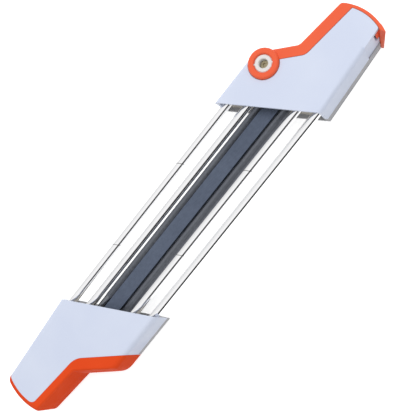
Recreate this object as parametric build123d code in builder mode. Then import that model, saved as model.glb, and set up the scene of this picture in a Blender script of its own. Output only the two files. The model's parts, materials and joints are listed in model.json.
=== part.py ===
from build123d import *
from math import atan, cos, degrees, radians, sin, sqrt, tan
import os

os.makedirs("parts", exist_ok=True)

# A two-in-one saw-chain file guide. Two handles of one outline, the second turned by half a turn,
# are joined by four guide rods with a flat file and two round files between them.
# Origin on the surface that the guide lies on, midway between the handles. +X runs along the rods
# to the release handle, +Z is up to the front face.

# Handle body
thickness = 25.0
parting_height = 7.0
rod_to_side = 4.6
wall = 2.0
face_reach = 82.0
face_angle = 31.0
handle_length = 83.8
far_corner_inset = 5.4
far_corner_taper = 4.9
grip_fall = 7.0
fixed_grip_fall = 4.6
side_round = 2.8
fixed_front_round = 3.6
fixed_back_round = 3.0
seam = 0.08
overrun = 2.0

# Step of the handles, as lines at 45 degrees
step_angle = 45.0
pivot_setback = 20.3
core_step_offset = 1.0
core_step_run = 27.3
core_corner_radius = 7.5
fixed_core_start = 13.2
fixed_core_corner = 39.5
fixed_outer_start = 27.4
fixed_outer_corner = 48.6
fixed_shoulder_radius = 12.0
fixed_core_radius = 14.0
fixed_outer_radius = 3.0

# Fixed handle's curved end
fixed_handle_extra = 3.0
fixed_end_radius = 43.6
fixed_end_middle_rise = 16.4
fixed_end_strip = 3.6
fixed_corner_radius = 4.8
grip_bulge = 1.2
grip_crown_height = 11.0
grip_lean = 2.0
grip_front_chamfer = 0.9
fixed_core_corner_radius = 4.0

# Release handle's curved and raked end
end_radius = 35.7
end_middle_rise = 12.1
end_rake = 12.5

# Rods and files
rod_radius = 2.75
rod_height = 16.8
rod_pitch = 11.8
rod_side_gap = 0.75
rod_chamfer = 0.7
rod_end_gap = 0.3
rod_groove_gap = 0.12
file_radius = 2.75
round_file_height = 15.2
file_side_gap = 0.15
flat_file_width = 9.5
flat_file_thickness = 3.4
flat_file_height = 16.5
flat_file_edge = 0.3
socket_gap = 0.06
socket_end_gap = 0.2
tang_length = 16.0
tang_radius = 1.6
tang_tip_radius = 1.0
flat_tang_width = 4.4
flat_tang_thickness = 2.2
flat_tang_taper = 2.0
tang_hole_gap = 0.3

# Carrier blocks
mouth_depth = 3.0
socket_depth = 15.0
rod_socket_depth = 12.0
carrier_depth = 18.0
carrier_gap = 0.15
pad_thickness = 1.0
rod_pin_radius = 1.0
rod_pin_gap = 0.05
rod_pin_inset = 5.0
rod_pin_foot = 10.0

# Lever and its cam shaft
lever_gap = 0.3
lever_step_offset = 8.4
lever_step_run = 23.6
lever_floor_gap = 0.4
strap_thickness = 2.7
lever_round = 1.2
lever_corner_radius = 5.0
lever_end_round = 3.0
ring_radius = 10.3
ring_recess_gap = 0.3
ring_plate = 2.7
ring_proud = 2.0
ring_round = 1.7
ring_inner_round = 1.3
back_plate = 2.6
plate_gap = 0.3
arm_gap = 0.5
skirt = 1.8
cam_radius = 4.0
cam_gap = 0.05
cam_notch_gap = 0.15
cam_flat = 3.0
cam_flat_margin = 0.4
cup_radius = 5.9
cup_drop = 1.1
cup_rim_round = 0.5
cup_key_width = 1.0
cup_key_reach = 0.5
cup_key_angle = -45.0
socket_radius = 3.05
socket_floor = 20.5
lever_screw_radius = 1.5
lever_screw_head_radius = 2.8
lever_screw_head = 1.9
lever_screw_drive = 1.5
lever_screw_drive_depth = 1.0
lever_nut_flats = 5.5
lever_nut_thickness = 1.8
lever_nut_inset = 0.2
screw_gap = 0.06
washer_thickness = 0.2
washer_radius = 7.0

# Thumb lip and latch nub at the far corner
lip_top_rise = 5.4
lip_tip_out = 1.3
lip_tip_drop = 4.6
lip_shoulder_out = 2.4
lip_shoulder_drop = 2.2
lip_outer_out = 3.25
lip_tip_lift = 2.4
nub_low = 14.0
nub_high = 21.5
nub_inset = 6.0
nub_side_gap = 0.7
nub_width = 5.0
nub_round = 1.2
nub_gap = 1.0
nub_stand = 2.4
nub_notch_extra = 1.1
recess_inset = 13.9
recess_lean = 5.4
recess_depth = 0.6

# Handle screws
post_radius = 2.5
post_gap = 0.15
grip_post_inset = 17.8
grip_post_rise = 11.4
handle_screw_radius = 1.25
handle_screw_pilot_depth = 12.0
handle_screw_engage = 10.0
handle_screw_head_radius = 2.3
handle_screw_head = 1.6
handle_screw_sink = 0.3
handle_screw_floor = 1.4
screw_slot_width = 0.7
screw_slot_depth = 0.7

# Derived sizes
round_file_across = flat_file_width / 2 + file_side_gap + file_radius
inner_rod_across = round_file_across + file_radius + rod_side_gap + rod_radius
outer_rod_across = inner_rod_across + rod_pitch
half_width = outer_rod_across + rod_to_side
far_corner_across = half_width - far_corner_taper
end_middle = end_middle_rise - far_corner_across
end_reach = face_reach + handle_length
far_corner_reach = end_reach - far_corner_inset
pivot_reach = face_reach + pivot_setback
face_slope = tan(radians(face_angle))
pivot_across = (inner_rod_across + outer_rod_across) / 2
boss_radius = half_width - pivot_across
near_corner_reach = face_reach + half_width * face_slope
side_angle = degrees(atan((half_width - far_corner_across) / (far_corner_reach - near_corner_reach)))
file_half_length = face_reach + mouth_depth + socket_depth
rod_half_length = face_reach + mouth_depth + rod_socket_depth
locked_rod_reach = pivot_reach + cam_radius
ring_recess_radius = ring_radius + ring_recess_gap
arm_start_radius = boss_radius + arm_gap
skirt_radius = ring_recess_radius + skirt
front_plate_level = thickness - ring_plate
back_plate_level = lever_floor_gap + back_plate
boss_top = front_plate_level - plate_gap
boss_foot = back_plate_level + plate_gap
far_reach = end_reach + fixed_handle_extra + strap_thickness * 3
rake_length = (thickness + overrun * 2) / cos(radians(end_rake))
rake_direction = (-sin(radians(end_rake)), 0, -cos(radians(end_rake)))
rake_share = tan(radians(end_rake))
recess_direction = (-sin(radians(recess_lean)), 0, -cos(radians(recess_lean)))
end_centre = (end_reach - end_radius, end_middle)
fixed_end_reach = end_reach + fixed_handle_extra
fixed_end_centre = (fixed_end_reach - fixed_end_radius, fixed_end_middle_rise - far_corner_across)
centring = fixed_handle_extra / 2
pivot = (pivot_reach, pivot_across)
front_shell_roof = thickness - wall

ahead = Plane.XY
turned = Plane(origin=(0, 0, 0), x_dir=(-1, 0, 0), z_dir=(0, 0, 1))


def crossing(first, first_angle, second, second_angle):
    """Where two lines meet, each given by a point on it and its angle in degrees."""
    ax, ay = cos(radians(first_angle)), sin(radians(first_angle))
    bx, by = cos(radians(second_angle)), sin(radians(second_angle))
    run = ((second[0] - first[0]) * by - (second[1] - first[1]) * bx) / (ax * by - ay * bx)
    return (first[0] + run * ax, first[1] + run * ay)


def step_point(offset, run):
    """A point near the release handle's step, counted from the pivot square to the step and along it."""
    across, along = sin(radians(step_angle)), cos(radians(step_angle))
    return (pivot_reach + offset * across + run * along, pivot_across + offset * along - run * across)


def aside(point, angle, distance):
    """A point moved square to a line's angle, to its right for a positive distance."""
    return (point[0] + distance * sin(radians(angle)), point[1] - distance * cos(radians(angle)))


def face_line(depth):
    """The slanted inner face of a handle, moved along the rods by a depth."""
    return (face_reach + depth, 0), 90 + face_angle


def top_line(inset):
    return (0, half_width - inset), 0


def side_line(inset):
    """The long side, which runs in towards the far corner."""
    return aside((far_corner_reach, -far_corner_across), side_angle, -inset), side_angle


def upright(reach):
    return (reach, 0), 90


def release_lines(offset, run, inset):
    """Step line and grip line of the release handle, drawn in by an inset."""
    corner = step_point(offset, run)
    step = (aside(corner, -step_angle, inset), -step_angle)
    grip = (aside(corner, -grip_fall, inset), -grip_fall)
    return step, grip


def fixed_lines(start, corner, inset):
    """Step line and grip line of the fixed handle, from setbacks behind its face, drawn in by an inset."""
    turn = crossing((face_reach + start, half_width), -step_angle, (face_reach + corner, 0), 90)
    step = (aside(turn, -step_angle, inset), -step_angle)
    grip = (aside(turn, -fixed_grip_fall, inset), -fixed_grip_fall)
    return step, grip


def closed_face(points, radii):
    with BuildSketch() as outline:
        with BuildLine():
            FilletPolyline(*points, radius=radii, close=True)
        make_face()
    return outline.sketch


def release_core(inset, depth=0):
    """Outline of the release handle's shells without its curved end."""
    step, grip = release_lines(core_step_offset, core_step_run, inset)
    face, top, side = face_line(depth), top_line(inset), side_line(inset)
    points = [
        crossing(*face, *top),
        crossing(*top, *upright(pivot_reach)),
        crossing(*step, *upright(pivot_reach)),
        crossing(*step, *grip),
        crossing(*grip, *upright(far_reach)),
        crossing(*side, *upright(far_reach)),
        crossing(*face, *side),
    ]
    with BuildSketch() as outline:
        add(closed_face(points, [0, 0, 0, core_corner_radius + inset, 0, 0, 0]))
        with Locations(pivot):
            Circle(boss_radius - inset)
    return outline.sketch


def end_limit(radius):
    """Everything on the handle's side of its curved end."""
    with BuildSketch() as outline:
        with Locations((end_centre[0] / 2, 0)):
            Rectangle(end_centre[0], half_width * 4)
        with Locations(end_centre):
            Circle(radius)
    return outline.sketch


def fixed_limit(radius):
    """Everything on the fixed handle's side of its curved end."""
    with BuildSketch() as outline:
        with Locations((fixed_end_centre[0] / 2, 0)):
            Rectangle(fixed_end_centre[0], half_width * 4)
        with Locations(fixed_end_centre):
            Circle(radius)
    return outline.sketch


def fixed_core(inset, depth=0):
    """Outline of the fixed handle's shells."""
    step, grip = fixed_lines(fixed_core_start, fixed_core_corner, inset)
    face, top, side = face_line(depth), top_line(inset), side_line(inset)
    points = [
        crossing(*face, *top),
        crossing(*top, *step),
        crossing(*step, *grip),
        crossing(*grip, *upright(far_reach)),
        crossing(*side, *upright(far_reach)),
        crossing(*face, *side),
    ]
    with BuildSketch() as outline:
        add(closed_face(points, [0, 0, fixed_core_radius + inset, 0, 0, 0]))
        add(fixed_limit(fixed_end_radius - fixed_end_strip - inset), mode=Mode.INTERSECT)
        fillet(outline.vertices().sort_by(Axis.X)[-2:], fixed_core_corner_radius)
    return outline.sketch


def fixed_outer(depth):
    """Full outline of the fixed handle, with its grip, moved past its slanted face by a depth."""
    with BuildSketch() as outline:
        add(long_outer(depth, 0, 0))
        add(fixed_limit(fixed_end_radius), mode=Mode.INTERSECT)
        fillet(outline.vertices().sort_by(Axis.X)[-2:], fixed_corner_radius)
    return outline.sketch


def long_outer(depth, beyond, lean):
    """The same outline, open past its curved end. Its sides can lie a distance beyond their places, and
    its step and grip lines a distance inside."""
    step, _ = fixed_lines(fixed_outer_start, fixed_outer_corner, lean)
    _, grip = fixed_lines(fixed_outer_start, fixed_outer_corner, lean - grip_bulge)
    face, top, side = face_line(depth), top_line(-beyond), side_line(-beyond)
    points = [
        crossing(*face, *top),
        crossing(*top, *step),
        crossing(*step, *grip),
        crossing(*grip, *upright(far_reach)),
        crossing(*side, *upright(far_reach)),
        crossing(*face, *side),
    ]
    return closed_face(points, [0, fixed_shoulder_radius, fixed_outer_radius, 0, 0, 0])


def save(part, name):
    """Writes a part, moved along the rods so that the origin is at the middle of the whole length."""
    centred = Pos(centring, 0, 0) * part
    centred.label = name
    export_step(centred, f"parts/{name}.step")


# Screw posts: one through each side of the carrier, one in the grip
post_places = [
    (face_reach + mouth_depth + carrier_depth / 2 - pivot_across * face_slope, pivot_across),
    (face_reach + mouth_depth + carrier_depth / 2 + pivot_across * face_slope, -pivot_across),
    (end_reach - grip_post_inset, grip_post_rise - far_corner_across),
]
rods_across = [outer_rod_across, inner_rod_across, -inner_rod_across, -outer_rod_across]
files_across = [round_file_across, -round_file_across]

# Release handle, solid and hollow forms
with BuildPart() as release_end:
    with BuildSketch(Plane.XY.offset(thickness)):
        add(end_limit(end_radius - strap_thickness))
    extrude(amount=rake_length, dir=rake_direction)

with BuildPart() as release_hollow:
    with BuildSketch(Plane.XY.offset(wall)):
        add(release_core(wall, -overrun))
    extrude(amount=thickness - wall * 2)
    with BuildSketch(Plane.XY.offset(thickness), mode=Mode.PRIVATE) as hollow_end:
        add(end_limit(end_radius - strap_thickness - wall))
    extrude(hollow_end.sketch, amount=rake_length, dir=rake_direction, mode=Mode.INTERSECT)

with BuildPart() as latch_notch:
    with BuildSketch(Plane.XY.offset(nub_low - nub_gap)):
        with Locations((far_corner_reach, -far_corner_across)):
            Rectangle(end_radius - strap_thickness, end_radius - strap_thickness)
        with Locations(pivot):
            corner_across = far_corner_across + pivot_across
            corner_distance = sqrt((far_corner_reach - pivot_reach) ** 2 + corner_across ** 2)
            notch_lean = rake_share * (thickness - nub_high)
            notch_radius = corner_distance - nub_stand - notch_lean - nub_notch_extra
            Circle(notch_radius, mode=Mode.SUBTRACT)
    extrude(amount=nub_high - nub_low + nub_gap * 2)

with BuildPart() as rod_channels:
    for across in (outer_rod_across, inner_rod_across):
        with BuildSketch(Plane.YZ.offset(face_reach - half_width)):
            with Locations((across, rod_height)):
                Circle(rod_radius + rod_groove_gap)
        extrude(amount=locked_rod_reach + rod_end_gap - face_reach + half_width)
    with BuildSketch(Plane.YZ.offset(face_reach)):
        with Locations((-outer_rod_across, rod_height)):
            Circle(rod_radius + rod_groove_gap)
    extrude(amount=rod_half_length + outer_rod_across * face_slope + rod_end_gap - face_reach)


def side_strip(setback, outer, inner):
    """Strip along the long side, from a setback before the far corner to past the end."""
    begin, finish = upright(far_corner_reach - setback), upright(far_reach)
    outer_line, inner_line = side_line(outer), side_line(inner)
    points = [
        crossing(*begin, *outer_line),
        crossing(*finish, *outer_line),
        crossing(*finish, *inner_line),
        crossing(*begin, *inner_line),
    ]
    return closed_face(points, [0, 0, 0, 0])


# Thumb recess under the lip, with a sharp front edge
with BuildPart() as sharp_corner:
    with BuildSketch(Plane.XY.offset(front_shell_roof)):
        add(side_strip(recess_inset, recess_depth, side_round + wall))
    extrude(amount=wall)
    add(release_end.part, mode=Mode.INTERSECT)

with BuildPart() as thumb_recess:
    with BuildSketch(Plane.XY.offset(thickness)):
        add(side_strip(recess_inset, -overrun, recess_depth))
    extrude(amount=thickness - parting_height + overrun, dir=recess_direction)

# Front shell of the release handle
with BuildPart() as release_front_shell:
    with BuildSketch(Plane.XY.offset(parting_height)):
        add(release_core(0))
    extrude(amount=thickness - parting_height)
    add(release_end.part, mode=Mode.INTERSECT)
    rim = release_front_shell.edges().group_by(Axis.Z)[-1].sort_by(Axis.Y)
    fillet([rim[0], rim[-1]], side_round)
    add(sharp_corner.part)
    add(thumb_recess.part, mode=Mode.SUBTRACT)
    add(release_hollow.part, mode=Mode.SUBTRACT)
    with BuildSketch(Plane.XY.offset(parting_height)):
        with Locations(pivot):
            Circle(boss_radius)
    extrude(amount=boss_top - parting_height)
    with BuildSketch(Plane.XY.offset(boss_top - wall)):
        add(release_core(0))
        with Locations(pivot):
            Circle(skirt_radius, mode=Mode.INTERSECT)
    extrude(amount=wall + thickness - boss_top - side_round)
    with BuildSketch(Plane.XY.offset(parting_height)):
        with Locations(*post_places):
            Circle(post_radius)
    extrude(amount=front_shell_roof - parting_height + wall / 2)
    with BuildSketch(Plane.XY.offset(parting_height)):
        with Locations(*post_places):
            Circle(handle_screw_radius)
    extrude(amount=handle_screw_pilot_depth, mode=Mode.SUBTRACT)
    with BuildSketch(Plane.XY.offset(boss_top)):
        with Locations(pivot):
            Circle(ring_recess_radius)
    extrude(amount=thickness - boss_top, mode=Mode.SUBTRACT)
    with BuildSketch(Plane.XY.offset(parting_height)):
        with Locations(pivot):
            Circle(cam_radius + cam_gap)
    extrude(amount=thickness, mode=Mode.SUBTRACT)
    add(rod_channels.part, mode=Mode.SUBTRACT)
    add(latch_notch.part, mode=Mode.SUBTRACT)
save(release_front_shell.part, "release_front_shell")

# Back shell of the release handle
with BuildPart() as release_back_shell:
    with BuildSketch():
        add(release_core(0))
    extrude(amount=parting_height - seam)
    add(release_end.part, mode=Mode.INTERSECT)
    add(release_hollow.part, mode=Mode.SUBTRACT)
    with BuildSketch():
        add(release_core(0))
        with Locations(pivot):
            Circle(skirt_radius, mode=Mode.INTERSECT)
    extrude(amount=boss_foot + wall)
    with BuildSketch(Plane.XY.offset(boss_foot)):
        with Locations(pivot):
            Circle(boss_radius)
    extrude(amount=parting_height - seam - boss_foot)
    with BuildSketch():
        with Locations(*post_places):
            Circle(post_radius)
    extrude(amount=parting_height - seam)
    with BuildSketch():
        with Locations(*post_places):
            Circle(handle_screw_radius + screw_gap)
        with Locations(pivot):
            Circle(cam_radius + cam_gap)
    extrude(amount=parting_height, mode=Mode.SUBTRACT)
    with BuildSketch():
        with Locations(*post_places):
            Circle(handle_screw_head_radius + screw_gap * 2)
    extrude(amount=handle_screw_floor + handle_screw_sink, mode=Mode.SUBTRACT)
    with BuildSketch():
        with Locations(pivot):
            Circle(ring_recess_radius)
    extrude(amount=boss_foot, mode=Mode.SUBTRACT)
save(release_back_shell.part, "release_back_shell")

# Fixed handle: the whole body, from which its shells and its grip are cut
with BuildPart() as fixed_body:
    with BuildSketch(turned):
        add(fixed_outer(-overrun * 2))
    extrude(amount=thickness)
    fillet(fixed_body.edges().group_by(Axis.Z)[-1], fixed_front_round)
    fillet(fixed_body.edges().group_by(Axis.Z)[0], fixed_back_round)

with BuildPart() as fixed_hollow:
    with BuildSketch(turned.offset(wall)):
        add(fixed_core(wall, -overrun))
    extrude(amount=thickness - wall * 2)

with BuildPart() as fixed_channels:
    for across in (outer_rod_across, -outer_rod_across):
        with BuildSketch(Plane.YZ.offset(-face_reach + half_width)):
            with Locations((across, rod_height)):
                Circle(rod_radius + rod_groove_gap)
        extrude(amount=face_reach - half_width - rod_half_length - across * face_slope - rod_end_gap)

with BuildPart() as fixed_front_shell:
    with BuildSketch(turned.offset(parting_height)):
        add(fixed_core(0))
    extrude(amount=thickness - parting_height)
    add(fixed_body.part, mode=Mode.INTERSECT)
    add(fixed_hollow.part, mode=Mode.SUBTRACT)
    with BuildSketch(turned.offset(parting_height)):
        with Locations(*post_places):
            Circle(post_radius)
    extrude(amount=front_shell_roof - parting_height + wall / 2)
    with BuildSketch(turned.offset(parting_height)):
        with Locations(*post_places):
            Circle(handle_screw_radius)
    extrude(amount=handle_screw_pilot_depth, mode=Mode.SUBTRACT)
    add(fixed_channels.part, mode=Mode.SUBTRACT)
save(fixed_front_shell.part, "fixed_front_shell")

with BuildPart() as fixed_back_shell:
    with BuildSketch(turned):
        add(fixed_core(0))
    extrude(amount=parting_height - seam)
    add(fixed_body.part, mode=Mode.INTERSECT)
    add(fixed_hollow.part, mode=Mode.SUBTRACT)
    with BuildSketch(turned):
        with Locations(*post_places):
            Circle(post_radius)
    extrude(amount=parting_height - seam)
    with BuildSketch(turned):
        with Locations(*post_places):
            Circle(handle_screw_radius + screw_gap)
    extrude(amount=parting_height, mode=Mode.SUBTRACT)
    with BuildSketch(turned):
        with Locations(*post_places):
            Circle(handle_screw_head_radius + screw_gap * 2)
    extrude(amount=handle_screw_floor + handle_screw_sink, mode=Mode.SUBTRACT)
save(fixed_back_shell.part, "fixed_back_shell")

# Soft grip that wraps the fixed handle's step, grip edge and end
with BuildPart() as grip_crown:
    with BuildSketch(turned.offset(-overrun)):
        add(long_outer(-overrun * 2, overrun, 0))
    with BuildSketch(turned.offset(grip_crown_height)):
        add(long_outer(-overrun * 2, overrun, 0))
    with BuildSketch(turned.offset(thickness - grip_front_chamfer)):
        add(long_outer(-overrun * 2, overrun, grip_lean))
    with BuildSketch(turned.offset(thickness)):
        add(long_outer(-overrun * 2, overrun, grip_lean + grip_front_chamfer))
    loft(ruled=True)

with BuildPart() as fixed_grip:
    add(fixed_body.part)
    add(grip_crown.part, mode=Mode.INTERSECT)
    with BuildSketch(turned):
        add(fixed_core(-seam, -overrun * 3))
    extrude(amount=thickness, mode=Mode.SUBTRACT)
save(fixed_grip.part, "fixed_grip")

# Lever of the release handle
with BuildPart() as lever_end:
    with BuildSketch(Plane.XY.offset(thickness)):
        add(end_limit(end_radius))
    extrude(amount=rake_length, dir=rake_direction)

with BuildPart() as lever_inside:
    with BuildSketch():
        add(release_core(-lever_gap, -overrun))
    extrude(amount=thickness)
    with BuildSketch(Plane.XY.offset(thickness), mode=Mode.PRIVATE) as inside_end:
        add(end_limit(end_radius - strap_thickness + lever_gap))
    extrude(inside_end.sketch, amount=rake_length, dir=rake_direction, mode=Mode.INTERSECT)


def lip_outline(back, lift):
    """Thumb lip past the far corner, moved back along the rods and lifted towards the side."""
    strap_reach = end_reach - strap_thickness / 2
    points = [
        (strap_reach - back, lip_top_rise - far_corner_across),
        (end_reach - strap_thickness - back, lip_top_rise - far_corner_across),
        (far_corner_reach + lever_gap - back, -far_corner_across),
        (far_corner_reach + lip_tip_out - back, lift - far_corner_across - lip_tip_drop),
        (far_corner_reach + lip_shoulder_out - back, lift - far_corner_across - lip_shoulder_drop),
        (far_corner_reach + lip_outer_out - back, -far_corner_across),
    ]
    return closed_face(points, [0] * len(points))


def lever_neck(level, plate, top_round):
    """Plate that joins the lever's arm to its ring, with its outer top edge rounded as the arm's is."""
    outer_side = Vector(*step_point(lever_step_offset, arm_start_radius / 2), level + plate)
    with BuildPart() as neck:
        with BuildSketch(Plane.XY.offset(level)):
            with BuildLine():
                Polyline(
                    step_point(core_step_offset + lever_gap, 0),
                    step_point(lever_step_offset, 0),
                    step_point(lever_step_offset, arm_start_radius + overrun),
                    step_point(core_step_offset + lever_gap, arm_start_radius + overrun),
                    close=True,
                )
            make_face()
        extrude(amount=plate)
        if top_round:
            fillet(neck.edges().sort_by_distance(outer_side)[0], top_round)
    return neck.part


# Small nub on the strap that snaps past the shell's corner
with BuildPart() as latch_nub:
    with BuildSketch(Plane.XY.offset(nub_low)):
        add(side_strip(nub_inset, nub_side_gap, nub_side_gap + nub_width))
        with Locations(pivot):
            Circle(notch_radius + nub_notch_extra, mode=Mode.SUBTRACT)
    extrude(amount=nub_high - nub_low)
    fillet(latch_nub.edges().group_by(Axis.Z)[-1].sort_by(Axis.X)[0], nub_round)
    add(lever_end.part, mode=Mode.INTERSECT)

with BuildPart() as locking_lever:
    step_line, grip_line = release_lines(lever_step_offset, lever_step_run, 0)
    with BuildSketch(Plane.XY.offset(lever_floor_gap)):
        outline = [
            step_point(lever_step_offset, 0),
            crossing(*step_line, *grip_line),
            crossing(*grip_line, *upright(far_reach)),
            crossing(*side_line(0), *upright(far_reach)),
            crossing(*side_line(0), *upright(pivot_reach)),
            step_point(core_step_offset, 0),
        ]
        add(closed_face(outline, [0, lever_corner_radius, 0, 0, 0, 0]))
    extrude(amount=thickness - lever_floor_gap)
    add(lever_end.part, mode=Mode.INTERSECT)
    corner_reach = end_centre[0] + end_radius * cos(radians(step_angle / 2 + grip_fall))
    corner = Vector(corner_reach, crossing(*grip_line, *upright(corner_reach))[1], thickness / 2)
    slanted_edges = locking_lever.edges().filter_by(Axis.Z, reverse=True)
    fillet(slanted_edges.sort_by_distance(corner)[0], lever_end_round)
    rims = locking_lever.edges().group_by(Axis.Z)
    fillet(rims[-1].filter_by(lambda e: e.center().Y > -far_corner_across), lever_round)
    with BuildSketch(Plane.XY.offset(thickness)):
        add(lip_outline(0, 0))
    with BuildSketch(Plane.XY.offset(lever_floor_gap)):
        add(lip_outline((thickness - lever_floor_gap) * rake_share, lip_tip_lift))
    loft(ruled=True)
    add(lever_inside.part, mode=Mode.SUBTRACT)
    with BuildSketch(Plane.XY):
        with Locations(pivot):
            Circle(arm_start_radius)
    extrude(amount=thickness, mode=Mode.SUBTRACT)
    add(lever_neck(lever_floor_gap, back_plate, 0))
    add(lever_neck(front_plate_level, ring_plate, lever_round))
    with BuildSketch(Plane.XY.offset(lever_floor_gap)):
        with Locations(pivot):
            Circle(ring_radius)
    extrude(amount=back_plate)
    with BuildSketch(Plane.XY.offset(front_plate_level)):
        with Locations(pivot):
            Circle(ring_radius)
    extrude(amount=ring_plate + ring_proud)
    with BuildSketch(Plane.XY.offset(front_plate_level)):
        with Locations(pivot):
            Circle(cup_radius + cam_gap)
    extrude(amount=ring_plate + ring_proud, mode=Mode.SUBTRACT)
    ring_rims = locking_lever.edges().group_by(Axis.Z)[-1].sort_by(SortBy.LENGTH)
    fillet(ring_rims[-1], ring_round)
    fillet(locking_lever.edges().group_by(Axis.Z)[-1].sort_by(SortBy.LENGTH)[0], ring_inner_round)
    with BuildSketch(Plane.XY.offset(front_plate_level)):
        with Locations(pivot):
            key_room = (cup_radius + cup_key_reach + cam_gap) * 2
            Rectangle(key_room, cup_key_width + cam_gap * 2, rotation=cup_key_angle)
    extrude(amount=ring_plate + ring_proud, mode=Mode.SUBTRACT)
    with BuildSketch(Plane.XY.offset(lever_floor_gap)):
        with Locations(pivot):
            RegularPolygon(lever_nut_flats / 2 + cam_gap, 6, major_radius=False)
    extrude(amount=lever_nut_thickness + lever_nut_inset, mode=Mode.SUBTRACT)
    with BuildSketch(Plane.XY):
        with Locations(pivot):
            Circle(lever_screw_radius + screw_gap)
    extrude(amount=thickness, mode=Mode.SUBTRACT)
    add(latch_nub.part)
save(locking_lever.part, "locking_lever")

# Shaft that turns with the lever: a cup in the ring, and two flats level with the rods
with BuildPart() as cam_shaft:
    with BuildSketch(Plane.XY.offset(back_plate_level + screw_gap)):
        with Locations(pivot):
            Circle(cam_radius)
    extrude(amount=front_plate_level - back_plate_level)
    with BuildSketch(Plane.XY.offset(rod_height - rod_radius - cam_flat_margin)):
        with Locations(pivot):
            Rectangle(cam_radius * 3, cam_radius * 3)
            Rectangle(cam_flat * 2, cam_radius * 3, mode=Mode.SUBTRACT)
    extrude(amount=(rod_radius + cam_flat_margin) * 2, mode=Mode.SUBTRACT)
    with BuildSketch(Plane.XY.offset(front_plate_level)):
        with Locations(pivot):
            Circle(cup_radius)
            Rectangle((cup_radius + cup_key_reach) * 2, cup_key_width, rotation=cup_key_angle)
    extrude(amount=ring_plate + ring_proud - cup_drop)
    with BuildSketch(Plane.XY.offset(socket_floor)):
        with Locations(pivot):
            Circle(socket_radius)
    extrude(amount=thickness, mode=Mode.SUBTRACT)
    chamfer(cam_shaft.edges().group_by(Axis.Z)[-1].filter_by(GeomType.CIRCLE), cup_rim_round)
    with BuildSketch():
        with Locations(pivot):
            Circle(lever_screw_radius + screw_gap)
    extrude(amount=thickness, mode=Mode.SUBTRACT)
save(cam_shaft.part, "cam_shaft")

with BuildPart() as pivot_screw:
    with BuildSketch(Plane.XY.offset(lever_floor_gap + lever_nut_inset)):
        with Locations(pivot):
            Circle(lever_screw_radius)
    extrude(amount=socket_floor - lever_floor_gap - lever_nut_inset)
    with BuildSketch(Plane.XY.offset(socket_floor)):
        with Locations(pivot):
            Circle(lever_screw_head_radius)
    extrude(amount=lever_screw_head)
    with BuildSketch(Plane.XY.offset(socket_floor + lever_screw_head)):
        with Locations(pivot):
            RegularPolygon(lever_screw_drive, 6)
    extrude(amount=-lever_screw_drive_depth, mode=Mode.SUBTRACT)
save(pivot_screw.part, "pivot_screw")

with BuildPart() as pivot_nut:
    with BuildSketch(Plane.XY.offset(lever_floor_gap + lever_nut_inset)):
        with Locations(pivot):
            RegularPolygon(lever_nut_flats / 2, 6, major_radius=False)
            Circle(lever_screw_radius + cam_gap / 2, mode=Mode.SUBTRACT)
    extrude(amount=lever_nut_thickness)
save(pivot_nut.part, "pivot_nut")

with BuildPart() as lever_washer:
    with BuildSketch(Plane.XY.offset(back_plate_level + (plate_gap - washer_thickness) / 2)):
        with Locations(pivot):
            Circle(washer_radius)
            Circle(cam_radius + cam_gap, mode=Mode.SUBTRACT)
    extrude(amount=washer_thickness)
save(lever_washer.part, "lever_washer")


def handle_screw_group(plane):
    """Three screws that come in from the back of a handle and end in its front posts."""
    with BuildPart() as screws:
        with BuildSketch(plane.offset(handle_screw_sink)):
            with Locations(*post_places):
                Circle(handle_screw_head_radius)
        extrude(amount=handle_screw_head - handle_screw_sink)
        with BuildSketch(plane.offset(handle_screw_head)):
            with Locations(*post_places):
                Circle(handle_screw_radius - screw_gap)
        extrude(amount=parting_height + handle_screw_engage - handle_screw_head)
        with BuildSketch(plane.offset(handle_screw_sink)):
            with Locations(*post_places):
                Rectangle(handle_screw_head_radius, screw_slot_width)
                Rectangle(screw_slot_width, handle_screw_head_radius)
        extrude(amount=screw_slot_depth, mode=Mode.SUBTRACT)
    return screws.part


save(handle_screw_group(ahead), "release_handle_screws")
save(handle_screw_group(turned), "fixed_handle_screws")


def carrier_outline():
    """Block behind a handle's open mouth, parallel to the slanted face."""
    near, back = face_line(mouth_depth), face_line(mouth_depth + carrier_depth)
    top, side = top_line(wall + carrier_gap), side_line(wall + carrier_gap)
    points = [crossing(*near, *top), crossing(*back, *top), crossing(*back, *side), crossing(*near, *side)]
    return closed_face(points, [0, 0, 0, 0])


def bore_start(across):
    """Where the slanted mouth is open for a hole at this distance across."""
    return face_reach - across * face_slope


def seat_end(across):
    """Where a file ends at this distance across."""
    return file_half_length - across * face_slope


def rod_end(across):
    """Where a blind rod ends at this distance across."""
    return rod_half_length - across * face_slope


def holes_along(base, places, radius, length):
    """Round holes along the rods in a handle, from its slanted mouth."""
    with BuildPart() as holes:
        for across, height in places:
            with BuildSketch(base_section(base, bore_start(across))):
                with Locations((across, height)):
                    Circle(radius)
            extrude(amount=length)
    return holes.part


def base_section(base, reach):
    """Plane square to the rods at a reach in a handle, with across and height as its axes."""
    return Plane(origin=base.from_local_coords((reach, 0, 0)), x_dir=base.y_dir, z_dir=base.x_dir)


def rod_places(list_across):
    return [(across, rod_height) for across in list_across]


def file_places():
    return [(across, round_file_height) for across in files_across]


def flat_socket(base, length):
    with BuildPart() as socket:
        with BuildSketch(base_section(base, bore_start(0))):
            with Locations((0, flat_file_height)):
                Rectangle(flat_file_width + socket_gap * 2, flat_file_thickness + socket_gap * 2)
        extrude(amount=seat_end(0) - bore_start(0) + length)
    return socket.part


def post_holes(base):
    with BuildPart() as holes:
        with BuildSketch(base):
            with Locations(*post_places):
                Circle(post_radius + post_gap)
        extrude(amount=thickness)
    return holes.part


pad_room = pad_thickness + socket_end_gap * 2
file_depth = mouth_depth + socket_depth
rod_depth = mouth_depth + rod_socket_depth
through_depth = mouth_depth + carrier_depth * 2

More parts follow.
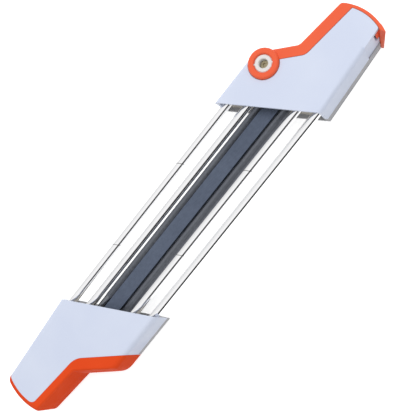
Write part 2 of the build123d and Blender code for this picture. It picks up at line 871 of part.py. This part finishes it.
with BuildPart() as release_carrier:
    with BuildSketch(Plane.XY.offset(wall + carrier_gap)):
        add(carrier_outline())
        with Locations(pivot):
            Circle(boss_radius + lever_gap, mode=Mode.SUBTRACT)
    extrude(amount=thickness - (wall + carrier_gap) * 2)
    for level in (boss_top - wall - lever_gap, 0):
        with BuildSketch(Plane.XY.offset(level)):
            with Locations(pivot):
                Circle(skirt_radius + lever_gap)
        extrude(amount=boss_foot + wall + lever_gap, mode=Mode.SUBTRACT)
    locked = rod_places([outer_rod_across, inner_rod_across])
    free = rod_places([-inner_rod_across, -outer_rod_across])
    add(holes_along(ahead, locked, rod_radius + socket_gap, through_depth), mode=Mode.SUBTRACT)
    add(holes_along(ahead, free, rod_radius + socket_gap, rod_depth + socket_end_gap), mode=Mode.SUBTRACT)
    bores = holes_along(ahead, file_places(), file_radius + socket_gap, file_depth + pad_room)
    add(bores, mode=Mode.SUBTRACT)
    add(flat_socket(ahead, pad_room), mode=Mode.SUBTRACT)
    add(post_holes(ahead), mode=Mode.SUBTRACT)
save(release_carrier.part, "release_carrier")

with BuildPart() as fixed_carrier:
    with BuildSketch(turned.offset(wall + carrier_gap)):
        add(carrier_outline())
    extrude(amount=thickness - (wall + carrier_gap) * 2)
    all_rods = rod_places(rods_across)
    add(holes_along(turned, all_rods, rod_radius + socket_gap, rod_depth), mode=Mode.SUBTRACT)
    add(holes_along(turned, file_places(), file_radius + socket_gap, file_depth), mode=Mode.SUBTRACT)
    add(holes_along(turned, file_places(), tang_radius + tang_hole_gap, through_depth), mode=Mode.SUBTRACT)
    add(flat_socket(turned, 0), mode=Mode.SUBTRACT)
    with BuildSketch(base_section(turned, seat_end(0))):
        with Locations((0, flat_file_height)):
            Rectangle(flat_tang_width + tang_hole_gap * 2, flat_tang_thickness + tang_hole_gap * 2)
    extrude(amount=carrier_depth, mode=Mode.SUBTRACT)
    with BuildSketch(turned.offset(rod_pin_foot)):
        with Locations(*[(rod_end(across) - rod_pin_inset, across) for across in rods_across]):
            Circle(rod_pin_radius + rod_pin_gap)
    extrude(amount=thickness, mode=Mode.SUBTRACT)
    add(post_holes(turned), mode=Mode.SUBTRACT)
save(fixed_carrier.part, "fixed_carrier")

with BuildPart() as fixed_rod_pins:
    with BuildSketch(turned.offset(rod_pin_foot + rod_pin_gap)):
        with Locations(*[(rod_end(across) - rod_pin_inset, across) for across in rods_across]):
            Circle(rod_pin_radius)
    extrude(amount=thickness - wall - carrier_gap - rod_pin_foot - rod_pin_gap)
save(fixed_rod_pins.part, "fixed_rod_pins")

# Pads at the bottom of the file sockets, against which the files are pushed
with BuildPart() as file_end_pads:
    for across in files_across:
        with BuildSketch(base_section(ahead, seat_end(across) + socket_end_gap)):
            with Locations((across, round_file_height)):
                Circle(file_radius)
        extrude(amount=pad_thickness)
    with BuildSketch(base_section(ahead, seat_end(0) + socket_end_gap)):
        with Locations((0, flat_file_height)):
            Rectangle(flat_file_width, flat_file_thickness)
    extrude(amount=pad_thickness)
save(file_end_pads.part, "file_end_pads")

# Four guide rods, of which the two beside the pivot reach past the cam shaft and are notched for it
rod_names = [
    "guide_rod_outer_upper",
    "guide_rod_inner_upper",
    "guide_rod_inner_lower",
    "guide_rod_outer_lower",
]
for rod_name, across in zip(rod_names, rods_across):
    start = -rod_end(-across)
    locked_by_cam = across > 0
    stop = locked_rod_reach if locked_by_cam else rod_end(across)
    with BuildPart() as guide_rod:
        with BuildSketch(base_section(ahead, start)):
            with Locations((across, rod_height)):
                Circle(rod_radius)
        extrude(amount=stop - start)
        chamfer(guide_rod.edges().filter_by(GeomType.CIRCLE), rod_chamfer)
        with BuildSketch():
            with Locations((start + rod_pin_inset, across)):
                Circle(rod_pin_radius + rod_pin_gap)
            if locked_by_cam:
                with Locations(pivot):
                    Circle(cam_radius + cam_notch_gap)
        extrude(amount=thickness, mode=Mode.SUBTRACT)
    save(guide_rod.part, rod_name)

# Flat file, with its tang in the fixed handle
with BuildPart() as flat_file:
    with BuildSketch(base_section(ahead, -seat_end(0))):
        with Locations((0, flat_file_height)):
            Rectangle(flat_file_width, flat_file_thickness)
    extrude(amount=seat_end(0) * 2)
    chamfer(flat_file.edges().filter_by(Axis.X), flat_file_edge)
    with BuildSketch(base_section(ahead, -seat_end(0))):
        with Locations((0, flat_file_height)):
            Rectangle(flat_tang_width, flat_tang_thickness)
    extrude(amount=-tang_length, taper=flat_tang_taper)
save(flat_file.part, "flat_file")

# Round files, each turned from one profile about its own axis
for file_name, across in zip(["round_file_upper", "round_file_lower"], files_across):
    start = -seat_end(-across)
    with BuildPart() as round_file:
        with BuildSketch(Plane.XY.offset(round_file_height)):
            with BuildLine():
                Polyline(
                    (seat_end(across), across),
                    (seat_end(across), across + file_radius - flat_file_edge),
                    (seat_end(across) - flat_file_edge, across + file_radius),
                    (start + flat_file_edge, across + file_radius),
                    (start, across + file_radius - flat_file_edge),
                    (start, across + tang_radius),
                    (start - tang_length, across + tang_tip_radius),
                    (start - tang_length, across),
                    close=True,
                )
            make_face()
        revolve(axis=Axis((0, across, round_file_height), (1, 0, 0)))
    save(round_file.part, file_name)
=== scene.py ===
import json
from functools import reduce
from math import atan2, cos, pi, radians, sin, sqrt, tan

import bmesh
import bpy
from mathutils import Matrix, Vector


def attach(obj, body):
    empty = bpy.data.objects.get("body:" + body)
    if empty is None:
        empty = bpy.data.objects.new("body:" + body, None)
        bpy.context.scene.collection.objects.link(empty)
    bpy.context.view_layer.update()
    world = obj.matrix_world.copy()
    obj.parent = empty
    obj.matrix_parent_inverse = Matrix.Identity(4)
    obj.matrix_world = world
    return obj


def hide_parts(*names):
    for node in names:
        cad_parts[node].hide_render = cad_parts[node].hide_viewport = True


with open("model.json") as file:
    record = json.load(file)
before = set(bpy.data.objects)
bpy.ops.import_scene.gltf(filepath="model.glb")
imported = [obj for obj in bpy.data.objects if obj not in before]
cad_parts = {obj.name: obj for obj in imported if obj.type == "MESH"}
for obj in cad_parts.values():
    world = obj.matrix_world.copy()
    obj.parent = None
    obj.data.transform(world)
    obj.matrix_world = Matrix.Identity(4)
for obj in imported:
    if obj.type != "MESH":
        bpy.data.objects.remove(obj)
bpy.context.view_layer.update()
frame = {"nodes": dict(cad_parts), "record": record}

MM = 0.001

# Places of the CAD that the pieces below follow, in millimetres. A reach is a distance along X from
# X = CENTRING, from which the two handles' faces are equally far; across is a distance along Y.
CENTRING = 1.5
FACE_REACH = 82.0
FACE_ANGLE = radians(31.0)
FACE_SLOPE = tan(FACE_ANGLE)

ROD_RADIUS = 2.75
ROD_HEIGHT = 16.8
ROD_CHAMFER = 0.7
ROD_SEAT_DEPTH = 15.0
OUTER_ROD_ACROSS = 25.7
INNER_ROD_ACROSS = 13.9
LOCKED_REACH = 106.3
PIVOT_REACH = 102.3
PIVOT_ACROSS = 19.8
NOTCH_RADIUS = 4.15

FILE_SEAT_DEPTH = 18.0
TANG_LENGTH = 16.0

ROUND_ACROSS = 7.65
ROUND_HEIGHT = 15.2
ROUND_TANG_RADIUS = 1.6
ROUND_TANG_TIP = 1.0

FLAT_HEIGHT = 16.5
FLAT_WIDTH = 9.5
FLAT_THICKNESS = 3.4
FLAT_TANG_WIDTH = 4.4
FLAT_TANG_THICKNESS = 2.2
FLAT_TANG_TIP_SHARE = 0.62

# Smooth necks and teeth of the files, which the solids leave out, in millimetres. A row of teeth
# is a groove, a tip and a back, each given by its depth below the tips.
NECK_START = -78.0
NECK_RADIUS = 2.55
NECK_CHAMFER_LENGTH = 0.5
NECK_CHAMFER_DEPTH = 0.35
ROUND_TIP_RADIUS = 2.74
ROUND_TOOTH_ROWS = 16
ROUND_TOOTH_DEPTHS = (0.17, 0.0, 0.17 * 0.35)
ROUND_TOOTH_STEP = 0.36
TEETH_RUN_OUT = 0.5
END_FACE_INSET = 0.5
FLAT_TOOTH_PITCH = 0.9
FLAT_TOOTH_DEPTHS = (0.16, 0.0, 0.16 * 0.45)
FLAT_TOOTH_SLANT = tan(radians(25.0))

# Number of sides of a ground rod, and of steps along its notch
ROD_SIDES = 96
NOTCH_RINGS = 24

# Largest angles between faces that are shaded as smooth
ROD_SMOOTH_ANGLE = radians(20)
FILE_SMOOTH_ANGLE = radians(25)

# Camera, from the perspective fitted to the two handles, in millimetres and degrees
CAMERA_PLACE = (84.902 + CENTRING, -215.944, 567.933)
CAMERA_TURN = (7.729, 20.910, -48.632)
CAMERA_LENS = 80.142
SENSOR = 36.0
NEAREST_SEEN = 10.0


# Shader nodes

def node_of(tree, kind):
    return next(node for node in tree.nodes if node.type == kind)


def new_material(name):
    """A new material, with its node tree and its Principled shader."""
    material = bpy.data.materials.new(name)
    material.use_nodes = True
    tree = material.node_tree
    return material, tree, node_of(tree, "BSDF_PRINCIPLED")


def object_coordinates(tree, scale=(1.0, 1.0, 1.0), turn=0.0):
    coordinates = tree.nodes.new("ShaderNodeTexCoord")
    mapping = tree.nodes.new("ShaderNodeMapping")
    mapping.inputs["Scale"].default_value = scale
    mapping.inputs["Rotation"].default_value = (0.0, 0.0, turn)
    tree.links.new(coordinates.outputs["Object"], mapping.inputs["Vector"])
    return mapping.outputs["Vector"]


def separated(tree, kind):
    """X, Y and Z of one kind of texture coordinates."""
    coordinates = tree.nodes.new("ShaderNodeTexCoord")
    parts = tree.nodes.new("ShaderNodeSeparateXYZ")
    tree.links.new(coordinates.outputs[kind], parts.inputs["Vector"])
    return parts.outputs


def noise(tree, vector, scale, detail=3.0, roughness=0.5):
    texture = tree.nodes.new("ShaderNodeTexNoise")
    texture.inputs["Scale"].default_value = scale
    texture.inputs["Detail"].default_value = detail
    texture.inputs["Roughness"].default_value = roughness
    tree.links.new(vector, texture.inputs["Vector"])
    return texture.outputs["Fac"]


def span(tree, value, source, target=(0.0, 1.0)):
    """Map Range from the two source values to the two target values, clamped."""
    node = tree.nodes.new("ShaderNodeMapRange")
    for socket, number in zip(node.inputs[1:5], (*source, *target)):
        socket.default_value = number
    tree.links.new(value, node.inputs["Value"])
    return node.outputs["Result"]


def calculate(tree, operation, first, second=0.0):
    node = tree.nodes.new("ShaderNodeMath")
    node.operation = operation
    for socket, value in zip(node.inputs, (first, second)):
        if isinstance(value, (int, float)):
            socket.default_value = value
        else:
            tree.links.new(value, socket)
    return node.outputs[0]


def chain(tree, operation, *values):
    """One operation over several values, from left to right."""
    return reduce(lambda first, second: calculate(tree, operation, first, second), values)


def mixed(tree, share, first, second):
    """Colour between two colours or colour sockets."""
    node = tree.nodes.new("ShaderNodeMix")
    node.data_type = "RGBA"
    tree.links.new(share, node.inputs["Factor"])
    for name, value in (("A", first), ("B", second)):
        socket = next(s for s in node.inputs if s.name == name and s.type == "RGBA")
        if isinstance(value, tuple):
            socket.default_value = (*value, 1.0)
        else:
            tree.links.new(value, socket)
    return next(s for s in node.outputs if s.type == "RGBA")


def bump(tree, shader, height, strength, distance):
    node = tree.nodes.new("ShaderNodeBump")
    node.inputs["Strength"].default_value = strength
    node.inputs["Distance"].default_value = distance
    tree.links.new(height, node.inputs["Height"])
    tree.links.new(node.outputs["Normal"], shader.inputs["Normal"])


def cloudy(tree, pattern, colour, shade):
    """Colour in soft clouds of two shades."""
    return mixed(tree, span(tree, pattern, (0.35, 0.65)), colour, shade)


def patchy_roughness(tree, shader, pattern, least, most):
    tree.links.new(span(tree, pattern, (0.3, 0.7), (least, most)), shader.inputs["Roughness"])


def seen_rays(tree):
    """Light Path's outputs, and which rays see the background itself, mirrored or through glass."""
    path = tree.nodes.new("ShaderNodeLightPath").outputs
    seen = chain(tree, "MAXIMUM", path["Is Camera Ray"], path["Is Glossy Ray"],
                 path["Is Transmission Ray"])
    return path, seen


# Materials

def moulded_plastic(name, colour, shade, rough, gloss=0.35):
    """Moulded plastic: a fine spark-eroded skin, soft clouds of colour and a few handling marks."""
    material, tree, shader = new_material(name)
    vector = object_coordinates(tree)
    body = cloudy(tree, noise(tree, vector, scale=22.0), colour, shade)
    stretched = object_coordinates(tree, scale=(0.25, 1.0, 1.0), turn=radians(38))
    marks = span(tree, noise(tree, stretched, scale=260.0, detail=6.0, roughness=0.7),
                 (0.60, 0.72), (0.0, 0.22))
    tree.links.new(mixed(tree, marks, body, shade), shader.inputs["Base Color"])
    patchy_roughness(tree, shader, noise(tree, vector, scale=90.0), rough - 0.05, rough + 0.07)
    shader.inputs["Specular IOR Level"].default_value = gloss
    skin = noise(tree, vector, scale=1500.0, detail=2.0)
    bump(tree, shader, skin, strength=0.35, distance=0.00002)
    return material


def soft_rubber(name, colour, shade):
    """Soft rubber: a matt skin with tiny pebbles and soft clouds of colour."""
    material, tree, shader = new_material(name)
    vector = object_coordinates(tree)
    tree.links.new(cloudy(tree, noise(tree, vector, scale=30.0), colour, shade),
                   shader.inputs["Base Color"])
    patchy_roughness(tree, shader, noise(tree, vector, scale=120.0), least=0.5, most=0.62)
    shader.inputs["Specular IOR Level"].default_value = 0.03
    pebbles = tree.nodes.new("ShaderNodeTexVoronoi")
    pebbles.inputs["Scale"].default_value = 1400.0
    tree.links.new(vector, pebbles.inputs["Vector"])
    bump(tree, shader, pebbles.outputs["Distance"], strength=0.3, distance=0.00004)
    return material


def angle_marks(tree, places):
    """Where thin lines cross the front of a rod, at the slant of the handles' faces.

    Each line goes through one place, given by its reach and its distance across.
    """
    position = separated(tree, "Object")
    line = calculate(tree, "ADD",
                     calculate(tree, "MULTIPLY", position["X"], cos(FACE_ANGLE)),
                     calculate(tree, "MULTIPLY", position["Y"], sin(FACE_ANGLE)))
    lines = []
    for reach, across in places:
        place = ((reach + CENTRING) * cos(FACE_ANGLE) + across * sin(FACE_ANGLE)) * MM
        distance = calculate(tree, "ABSOLUTE", calculate(tree, "SUBTRACT", line, place))
        lines.append(span(tree, distance, (0.00016, 0.00024), (1.0, 0.0)))
    front = span(tree, position["Z"], (0.0175, 0.0178))
    return calculate(tree, "MULTIPLY", chain(tree, "MAXIMUM", *lines), front)


def bright_rod(name, mark_places=()):
    """Ground and plated rod, with drawn lines along it and, at some places, dark angle marks."""
    material, tree, shader = new_material(name)
    shader.inputs["Metallic"].default_value = 1.0
    drawn = noise(tree, object_coordinates(tree, scale=(4.0, 90.0, 90.0)), scale=40.0)
    patchy_roughness(tree, shader, drawn, least=0.06, most=0.09)
    colour = mixed(tree, span(tree, drawn, (0.3, 0.7)), (0.93, 0.93, 0.94), (0.89, 0.89, 0.90))
    if mark_places:
        colour = mixed(tree, angle_marks(tree, mark_places), colour, (0.30, 0.30, 0.30))
    tree.links.new(colour, shader.inputs["Base Color"])
    return material


def tool_metal(name, colour, shade, rough, metallic):
    """Tool metal, with oil film clouds and fine scratches."""
    material, tree, shader = new_material(name)
    shader.inputs["Metallic"].default_value = metallic
    vector = object_coordinates(tree)
    tree.links.new(cloudy(tree, noise(tree, vector, scale=35.0, detail=4.0), colour, shade),
                   shader.inputs["Base Color"])
    patchy_roughness(tree, shader, noise(tree, vector, scale=400.0), rough - 0.06, rough + 0.08)
    bump(tree, shader, noise(tree, vector, scale=2500.0), strength=0.3, distance=0.00002)
    return material


finishes = {
    "shell_light": moulded_plastic(
        "light_shell_nylon", (0.700, 0.755, 0.895), (0.662, 0.720, 0.875), rough=0.42),
    "shell_dark": moulded_plastic(
        "dark_shell_nylon", (0.430, 0.432, 0.450), (0.400, 0.404, 0.425), rough=0.45),
    "carrier": moulded_plastic(
        "carrier_nylon", (0.52, 0.50, 0.45), (0.46, 0.44, 0.40), rough=0.60),
    "orange_lever": moulded_plastic(
        "orange_lever_plastic", (0.900, 0.138, 0.054), (0.870, 0.126, 0.049), rough=0.36,
        gloss=0.28),
    "orange_grip": soft_rubber(
        "orange_grip_rubber", (0.825, 0.082, 0.018), (0.785, 0.072, 0.015)),
    "white_cam": moulded_plastic(
        "white_acetal", (0.84, 0.84, 0.83), (0.78, 0.78, 0.77), rough=0.35),
    "screw_brass": tool_metal(
        "dull_brass", (0.55, 0.47, 0.30), (0.46, 0.40, 0.26), rough=0.45, metallic=0.8),
    "screw_steel": tool_metal(
        "zinc_steel", (0.62, 0.62, 0.63), (0.52, 0.52, 0.54), rough=0.32, metallic=1.0),
    "pad": soft_rubber(
        "black_pad_rubber", (0.03, 0.03, 0.03), (0.04, 0.04, 0.04)),
    "rod_chrome": bright_rod("rod_chrome"),
    "file_flat": tool_metal(
        "flat_file_steel", (0.133, 0.162, 0.225), (0.116, 0.142, 0.200), rough=0.50,
        metallic=0.75),
    "file_round": tool_metal(
        "round_file_steel", (0.195, 0.207, 0.235), (0.162, 0.174, 0.202), rough=0.38,
        metallic=0.90),
}
neck_steel = tool_metal(
    "smooth_neck_steel", (0.24, 0.25, 0.27), (0.20, 0.21, 0.23), rough=0.30, metallic=1.0)
marked_chrome = {
    "guide_rod_outer_upper": bright_rod(
        "upper_marked_chrome", [(19.0, OUTER_ROD_ACROSS), (-49.2, OUTER_ROD_ACROSS)]),
    "guide_rod_inner_lower": bright_rod(
        "lower_marked_chrome", [(43.6, -INNER_ROD_ACROSS), (-25.5, -INNER_ROD_ACROSS)]),
}

for part in frame["record"]["subparts"]:
    cad_object = frame["nodes"][part["node"]]
    cad_object.data.materials.clear()
    cad_object.data.materials.append(
        marked_chrome.get(part["node"], finishes[part["material_slot"]]))


# Pieces that show what the solids leave out, each built in millimetres

def add_object(name, data):
    item = bpy.data.objects.new(name, data)
    bpy.context.scene.collection.objects.link(item)
    return item


def mesh_of(bm, name, materials):
    mesh = bpy.data.meshes.new(name)
    bm.to_mesh(mesh)
    bm.free()
    for material in materials:
        mesh.materials.append(material)
    return mesh


def finished_piece(bm, place, name, materials, body, node, smooth_angle=None):
    """Moves a bmesh to its place, in metres, as a piece on a body, in place of a node."""
    bmesh.ops.translate(bm, verts=bm.verts[:], vec=place)
    bmesh.ops.scale(bm, verts=bm.verts[:], vec=(MM, MM, MM))
    bmesh.ops.recalc_face_normals(bm, faces=bm.faces[:])
    mesh = mesh_of(bm, name, materials)
    piece = add_object(name, mesh)
    if smooth_angle is not None:
        for face in mesh.polygons:
            face.use_smooth = True
        mesh.set_sharp_from_angle(angle=smooth_angle)
    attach(piece, body)
    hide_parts(node)


def of_kind(items, kind):
    return [item for item in items if isinstance(item, kind)]


def ring_about_x(bm, segments, radius, cap_ends):
    """Circle of edges about the X axis, in the plane X = 0."""
    bmesh.ops.create_circle(bm, cap_ends=cap_ends, segments=segments, radius=radius)
    bmesh.ops.rotate(bm, verts=bm.verts[:], cent=(0, 0, 0), matrix=Matrix.Rotation(pi / 2, 3, "Y"))
    return bm.edges[:]


def push_ring(bm, ring, forward, radius):
    """Extrudes an open ring along X to one radius. Gives the new ring and the faces behind it."""
    made = bmesh.ops.extrude_edge_only(bm, edges=ring)["geom"]
    verts = of_kind(made, bmesh.types.BMVert)
    bmesh.ops.translate(bm, verts=verts, vec=(forward, 0.0, 0.0))
    for vert in verts:
        vert.co.yz = vert.co.yz.normalized() * radius
    return of_kind(made, bmesh.types.BMEdge), of_kind(made, bmesh.types.BMFace)


def rod_steps(start, stop, notched):
    """Steps along a rod from its first ring, each with the radius that it ends at."""
    steps = [(ROD_CHAMFER, ROD_RADIUS)]
    if notched:
        notch_start = PIVOT_REACH - NOTCH_RADIUS - start
        notch_step = (stop - ROD_CHAMFER - start - notch_start) / NOTCH_RINGS
        steps += [(notch_start - ROD_CHAMFER, ROD_RADIUS)]
        steps += [(notch_step, ROD_RADIUS)] * NOTCH_RINGS
    else:
        steps += [(stop - start - ROD_CHAMFER * 2, ROD_RADIUS)]
    return steps + [(ROD_CHAMFER, ROD_RADIUS - ROD_CHAMFER)]


def cut_notch(bm, away):
    """Moves the rod's skin out of the locking shaft's round, towards +Y or -Y."""
    for vert in bm.verts:
        deep = NOTCH_RADIUS ** 2 - (vert.co.x - PIVOT_REACH) ** 2
        if deep > 0:
            out = max(sqrt(deep), away * (vert.co.y - PIVOT_ACROSS))
            vert.co.y = PIVOT_ACROSS + away * out


def ground_rod(node, across):
    """Ground rod, round all the way. The upper two have the notch that the shaft turns in."""
    notched = across > 0
    start = -(FACE_REACH + ROD_SEAT_DEPTH + across * FACE_SLOPE)
    stop = LOCKED_REACH if notched else FACE_REACH + ROD_SEAT_DEPTH - across * FACE_SLOPE
    bm = bmesh.new()
    ring = ring_about_x(bm, ROD_SIDES, ROD_RADIUS - ROD_CHAMFER, cap_ends=True)
    for forward, radius in rod_steps(start, stop, notched):
        ring, _ = push_ring(bm, ring, forward, radius)
    bmesh.ops.edgeloop_fill(bm, edges=ring)
    bmesh.ops.translate(bm, verts=bm.verts[:], vec=(start, across, ROD_HEIGHT))
    if notched:
        cut_notch(bm, away=1 if across > PIVOT_ACROSS else -1)
    finished_piece(bm, (CENTRING, 0.0, 0.0), node + "_ground",
                   [marked_chrome.get(node, finishes["rod_chrome"])], "frame", node,
                   ROD_SMOOTH_ANGLE)


def file_reach(across):
    """Where a file ends in the release handle."""
    return FACE_REACH + FILE_SEAT_DEPTH - across * FACE_SLOPE


def round_file(name, across, body, node):
    """Round file with spiral rows of teeth, a smooth neck and a tapered tang."""
    start, stop = -file_reach(-across), file_reach(across)
    points = ROUND_TOOTH_ROWS * len(ROUND_TOOTH_DEPTHS)
    bm = bmesh.new()
    tooth_ring = ring_about_x(bm, points, ROUND_TIP_RADIUS, cap_ends=False)
    for index, vert in enumerate(sorted(bm.verts, key=lambda v: atan2(v.co.z, v.co.y))):
        low = ROUND_TOOTH_DEPTHS[index % len(ROUND_TOOTH_DEPTHS)]
        vert.co.yz = vert.co.yz.normalized() * (ROUND_TIP_RADIUS - low)
    steps = int((stop - NECK_START) / ROUND_TOOTH_STEP)
    step = (stop - NECK_START) / steps
    bmesh.ops.spin(bm, geom=tooth_ring, cent=(0, 0, 0), axis=(1, 0, 0), dvec=(step, 0, 0),
                   angle=steps * 2 * pi / points, steps=steps, use_merge=False)
    open_ends = [edge for edge in bm.edges if edge.is_boundary]
    near = [edge for edge in open_ends if edge.verts[0].co.x < step / 2]
    far = [edge for edge in open_ends if edge.verts[0].co.x > step / 2]
    neck_length = NECK_START - start
    for forward, radius in (
        (-TEETH_RUN_OUT, NECK_RADIUS),
        (TEETH_RUN_OUT + NECK_CHAMFER_LENGTH - neck_length, NECK_RADIUS),
        (-NECK_CHAMFER_LENGTH, NECK_RADIUS - NECK_CHAMFER_DEPTH),
        (0.0, ROUND_TANG_RADIUS),
        (-TANG_LENGTH, ROUND_TANG_TIP),
    ):
        near, faces = push_ring(bm, near, forward, radius)
        for face in faces:
            face.material_index = 1
    bmesh.ops.edgeloop_fill(bm, edges=near)
    far, _ = push_ring(bm, far, 0.0, ROUND_TIP_RADIUS - END_FACE_INSET)
    bmesh.ops.edgeloop_fill(bm, edges=far)
    finished_piece(bm, (NECK_START + CENTRING, across, ROUND_HEIGHT), name,
                   [finishes["file_round"], neck_steel], body, node,
                   FILE_SMOOTH_ANGLE)


def flat_tang(bm, reach):
    """Tapered tang at the flat file's end."""
    middle = -reach - TANG_LENGTH / 2
    tang = bmesh.ops.create_cube(bm, size=1.0)["verts"]
    bmesh.ops.scale(bm, verts=tang, vec=(TANG_LENGTH, FLAT_TANG_WIDTH, FLAT_TANG_THICKNESS))
    bmesh.ops.translate(bm, verts=tang, vec=(middle, 0, 0))
    for vert in tang:
        if vert.co.x < middle:
            vert.co.yz *= FLAT_TANG_TIP_SHARE


def flat_file():
    """Flat file with slanted rows of teeth on both faces and smooth edges."""
    reach = file_reach(0)
    slant = FLAT_WIDTH * FLAT_TOOTH_SLANT
    length = (reach + slant) * 2
    columns = int(length / FLAT_TOOTH_PITCH) * len(FLAT_TOOTH_DEPTHS)
    bm = bmesh.new()
    bmesh.ops.create_grid(bm, x_segments=columns, y_segments=1, size=0.5)
    for vert in bm.verts:
        column = round((vert.co.x + 0.5) * columns)
        low = FLAT_TOOTH_DEPTHS[column % len(FLAT_TOOTH_DEPTHS)]
        vert.co = (vert.co.x * length + vert.co.y * slant, vert.co.y * FLAT_WIDTH,
                   FLAT_THICKNESS / 2 - low)
    made = bmesh.ops.extrude_face_region(bm, geom=bm.faces[:])["geom"]
    bmesh.ops.scale(bm, verts=of_kind(made, bmesh.types.BMVert), vec=(1.0, 1.0, -1.0))
    for side in (1, -1):
        cut = bmesh.ops.bisect_plane(bm, geom=bm.verts[:] + bm.edges[:] + bm.faces[:],
                                     plane_co=(side * reach, 0, 0), plane_no=(side, 0, 0),
                                     clear_outer=True)
        bmesh.ops.edgeloop_fill(bm, edges=of_kind(cut["geom_cut"], bmesh.types.BMEdge))
    flat_tang(bm, reach)
    finished_piece(bm, (CENTRING, 0.0, FLAT_HEIGHT), "flat_file_cut", [finishes["file_flat"]],
                   "frame", "flat_file")


for node, across in (
    ("guide_rod_outer_upper", OUTER_ROD_ACROSS),
    ("guide_rod_inner_upper", INNER_ROD_ACROSS),
    ("guide_rod_inner_lower", -INNER_ROD_ACROSS),
    ("guide_rod_outer_lower", -OUTER_ROD_ACROSS),
):
    ground_rod(node, across)

round_file("round_file_cut_upper", ROUND_ACROSS, "upper_file", "round_file_upper")
round_file("round_file_cut_lower", -ROUND_ACROSS, "lower_file", "round_file_lower")
flat_file()


# Floor, light and camera

# Light that the floor adds to its lit colour, so that it shows as white
FLOOR_GLOW = 0.68
# How far the world darkens where mirrors find its dark band and its tinted side
MIRRORED_DARK = 0.96
MIRRORED_TINT = 0.06


def floor_material():
    """Pale floor that is white to the camera and still takes the object's shadow."""
    material, tree, shader = new_material("floor")
    shader.inputs["Base Color"].default_value = (0.80, 0.80, 0.80, 1.0)
    shader.inputs["Roughness"].default_value = 0.9
    shader.inputs["Specular IOR Level"].default_value = 0.0
    _, seen = seen_rays(tree)
    glow = tree.nodes.new("ShaderNodeEmission")
    glow.inputs["Color"].default_value = (1.0, 1.0, 1.0, 1.0)
    tree.links.new(calculate(tree, "MULTIPLY", seen, FLOOR_GLOW), glow.inputs["Strength"])
    both = tree.nodes.new("ShaderNodeAddShader")
    tree.links.new(shader.outputs[0], both.inputs[0])
    tree.links.new(glow.outputs[0], both.inputs[1])
    tree.links.new(both.outputs[0], node_of(tree, "OUTPUT_MATERIAL").inputs["Surface"])
    return material


def add_floor(half_side, height):
    bm = bmesh.new()
    bmesh.ops.create_grid(bm, x_segments=1, y_segments=1, size=half_side)
    floor = add_object("floor", mesh_of(bm, "floor", [floor_material()]))
    floor.location.z = height


def add_world(light):
    """World that is white to the camera, in mirrors and through glass, and dimmer as a light.

    Mirrors also find a dark band in it, low and mostly on the near side, and a faint grey tint
    on the far side, so that bright metal has edges.
    """
    world = bpy.data.worlds.new("studio")
    bpy.context.scene.world = world
    world.use_nodes = True
    tree = world.node_tree
    background = node_of(tree, "BACKGROUND")
    direction = separated(tree, "Generated")
    path, seen = seen_rays(tree)
    mirrored = path["Is Glossy Ray"]
    low_band = span(tree, direction["Z"], (0.66, 0.74), (1.0, 0.0))
    near_side = span(tree, direction["Y"], (0.15, -0.35), (0.12, 1.0))
    dark = chain(tree, "MULTIPLY", low_band, near_side, mirrored, MIRRORED_DARK)
    not_above = span(tree, direction["Z"], (0.96, 0.99), (1.0, 0.0))
    far_side = span(tree, direction["Y"], (-0.02, 0.12))
    tint = chain(tree, "MULTIPLY", not_above, far_side, mirrored, MIRRORED_TINT)
    shade = calculate(tree, "ADD", dark, tint)
    bright = span(tree, seen, (0.0, 1.0), (light, 1.0))
    level = calculate(tree, "MULTIPLY", bright, calculate(tree, "SUBTRACT", 1.0, shade))
    tree.links.new(level, background.inputs["Strength"])
    background.inputs["Color"].default_value = (1.0, 1.0, 1.0, 1.0)


def add_soft_lamp(name, place, target, size, power):
    """Square lamp that bright metal doesn't mirror, so that the world's shades show there."""
    lamp = bpy.data.lights.new(name, "AREA")
    lamp.shape = "SQUARE"
    lamp.size = size
    lamp.energy = power
    holder = add_object(name, lamp)
    holder.location = place
    aim = Vector(target) - Vector(place)
    holder.rotation_euler = aim.to_track_quat("-Z", "Y").to_euler()
    holder.visible_glossy = False


def add_camera():
    lens = bpy.data.cameras.new("camera")
    lens.lens = CAMERA_LENS
    lens.sensor_width = SENSOR
    lens.clip_start = NEAREST_SEEN * MM
    camera = add_object("camera", lens)
    camera.location = [value * MM for value in CAMERA_PLACE]
    camera.rotation_euler = [radians(value) for value in CAMERA_TURN]
    bpy.context.scene.camera = camera


add_floor(half_side=4.0, height=-0.0002)
add_world(light=0.70)
add_soft_lamp("top_softbox", place=(0.32, 0.34, 1.02), target=(0.0, 0.0, 0.0), size=0.95,
              power=4.9)
add_camera()
bpy.context.scene.view_settings.view_transform = "Standard"
